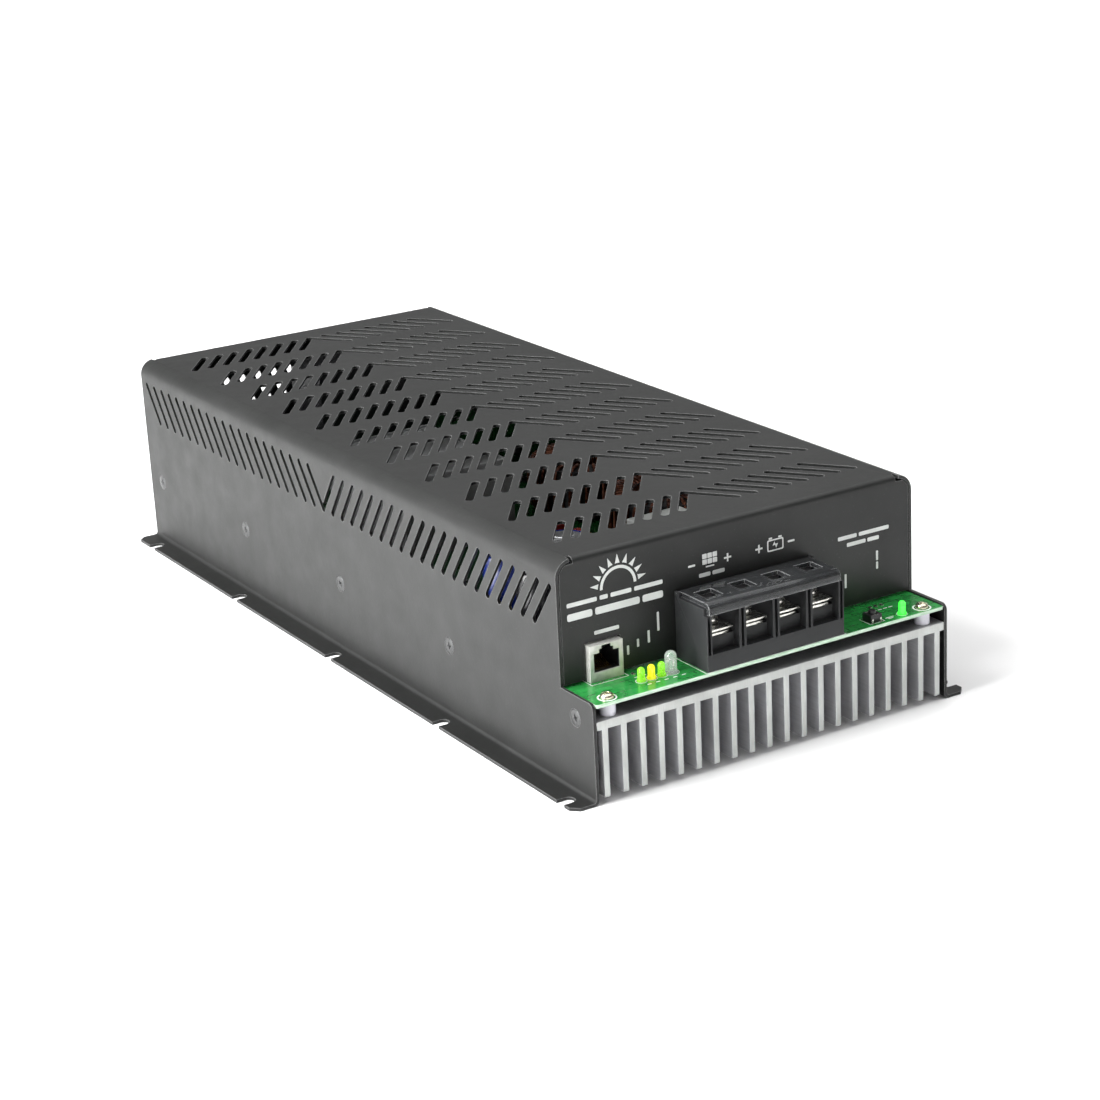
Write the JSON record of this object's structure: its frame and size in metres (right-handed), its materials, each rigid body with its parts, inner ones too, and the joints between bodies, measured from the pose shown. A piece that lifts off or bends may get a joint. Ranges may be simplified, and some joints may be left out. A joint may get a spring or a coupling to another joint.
{
  "type": "solar charge controller",
  "caption": "Wall-mounted solar charge controller: slotted black steel cover over a finned heatsink, with screw terminals, network socket and lamps on a front shelf.",
  "frame": {"origin": "middle of the footprint on the surface the flanges are screwed to", "axes": "-Y towards the connection shelf, +Y towards the slotted rear panel, +Z away from the mounting surface, +X to the right seen from the connection end"},
  "size_m": [0.2134, 0.4588, 0.1022],
  "materials": {
    "black_powder_coat": "satin black powder coat with a fine grain",
    "aluminium": "mill-finish extruded aluminium",
    "solder_mask": "glossy green solder mask over glass-fibre board",
    "terminal_plastic": "fine-textured dark grey plastic",
    "smoked_clear": "clear smoked plastic",
    "nickel": "nickel plate",
    "black_plastic": "black moulded plastic",
    "nylon": "natural white nylon",
    "zinc_screw": "zinc-plated steel",
    "black_screw": "black-oxide steel worn at the rim",
    "green_lamp": "green diffused epoxy",
    "yellow_lamp": "yellow diffused epoxy",
    "clear_lamp": "water-clear epoxy",
    "blue_sleeve": "blue shrink sleeve with an aluminium top",
    "black_sleeve": "black shrink sleeve with an aluminium top",
    "potted_grey": "grey potting in a sheet case",
    "copper_wire": "copper winding under dark brown enamel",
    "relay_case": "off-white plastic case",
    "film_capacitor": "red-brown epoxy case"
  },
  "bodies": {
    "housing": {"board_screw_front_left": "zinc_screw", "board_screw_front_right": "zinc_screw", "board_screw_rear_left": "zinc_screw", "board_screw_rear_right": "zinc_screw", "button_body": "black_plastic", "capacitor_1": "black_sleeve", "capacitor_2": "black_sleeve", "capacitor_3": "blue_sleeve", "capacitor_4": "blue_sleeve", "circuit_board": "solder_mask", "control_card": "solder_mask", "cover": "black_powder_coat", "film_capacitor_front": "film_capacitor", "film_capacitor_rear": "film_capacitor", "filter_choke": "black_plastic", "heatsink": "aluminium", "lamp_activity": "yellow_lamp", "lamp_battery": "clear_lamp", "lamp_link": "green_lamp", "lamp_load": "green_lamp", "lamp_panel": "green_lamp", "power_choke": "potted_grey", "relay": "relay_case", "side_screw_left_1": "black_screw", "side_screw_left_2": "black_screw", "side_screw_left_3": "black_screw", "side_screw_left_4": "black_screw", "side_screw_left_5": "black_screw", "side_screw_right_1": "black_screw", "side_screw_right_2": "black_screw", "side_screw_right_3": "black_screw", "side_screw_right_4": "black_screw", "side_screw_right_5": "black_screw", "socket_insert": "black_plastic", "socket_shield": "nickel", "spacer_front_left": "nylon", "spacer_front_right": "nylon", "spacer_rear_left": "nylon", "spacer_rear_right": "nylon", "terminal_body": "terminal_plastic", "terminal_contact_1": "nickel", "terminal_contact_2": "nickel", "terminal_contact_3": "nickel", "terminal_contact_4": "nickel", "toroid_front": "copper_wire", "toroid_rear": "copper_wire", "transistor_1": "black_plastic", "transistor_2": "black_plastic", "transistor_3": "black_plastic", "transistor_4": "black_plastic"},
    "guard": {"terminal_guard": "smoked_clear"},
    "button": {"button_cap": "black_plastic"},
    "clamp_1": {"terminal_clamp_1": "nickel"},
    "screw_1": {"terminal_screw_1": "nickel"},
    "clamp_2": {"terminal_clamp_2": "nickel"},
    "screw_2": {"terminal_screw_2": "nickel"},
    "clamp_3": {"terminal_clamp_3": "nickel"},
    "screw_3": {"terminal_screw_3": "nickel"},
    "clamp_4": {"terminal_clamp_4": "nickel"},
    "screw_4": {"terminal_screw_4": "nickel"}
  },
  "joints": [
    {"name": "guard_lift", "type": "hinge", "parent": "housing", "child": "guard", "pos_m": [0.0005, -0.20625, 0.07485], "axis": [-1, 0, 0], "range_deg": [0, 85]},
    {"name": "button_press", "type": "slide", "parent": "housing", "child": "button", "axis": [0, 0, -1], "range_m": [0, 0.00025], "stiffness_N_per_m": 1000},
    {"name": "clamp_1_lift", "type": "slide", "parent": "housing", "child": "clamp_1", "axis": [0, 0, 1], "range_m": [-0.001, 0.003]},
    {"name": "screw_1_turn", "type": "hinge", "parent": "clamp_1", "child": "screw_1", "pos_m": [-0.0262, -0.2166, 0.0602], "axis": [0, 0, 1], "range_deg": [-516, 1545]},
    {"name": "clamp_2_lift", "type": "slide", "parent": "housing", "child": "clamp_2", "axis": [0, 0, 1], "range_m": [-0.001, 0.003]},
    {"name": "screw_2_turn", "type": "hinge", "parent": "clamp_2", "child": "screw_2", "pos_m": [-0.0084, -0.2166, 0.0602], "axis": [0, 0, 1], "range_deg": [-516, 1545]},
    {"name": "clamp_3_lift", "type": "slide", "parent": "housing", "child": "clamp_3", "axis": [0, 0, 1], "range_m": [-0.001, 0.003]},
    {"name": "screw_3_turn", "type": "hinge", "parent": "clamp_3", "child": "screw_3", "pos_m": [0.0094, -0.2166, 0.0602], "axis": [0, 0, 1], "range_deg": [-516, 1545]},
    {"name": "clamp_4_lift", "type": "slide", "parent": "housing", "child": "clamp_4", "axis": [0, 0, 1], "range_m": [-0.001, 0.003]},
    {"name": "screw_4_turn", "type": "hinge", "parent": "clamp_4", "child": "screw_4", "pos_m": [0.0272, -0.2166, 0.0602], "axis": [0, 0, 1], "range_deg": [-516, 1545]}
  ],
  "couplings": [
    {"joint": "screw_1_turn", "follows": "clamp_1_lift", "rad_per_m": 8976},
    {"joint": "screw_2_turn", "follows": "clamp_2_lift", "rad_per_m": 8976},
    {"joint": "screw_3_turn", "follows": "clamp_3_lift", "rad_per_m": 8976},
    {"joint": "screw_4_turn", "follows": "clamp_4_lift", "rad_per_m": 8976}
  ]
}
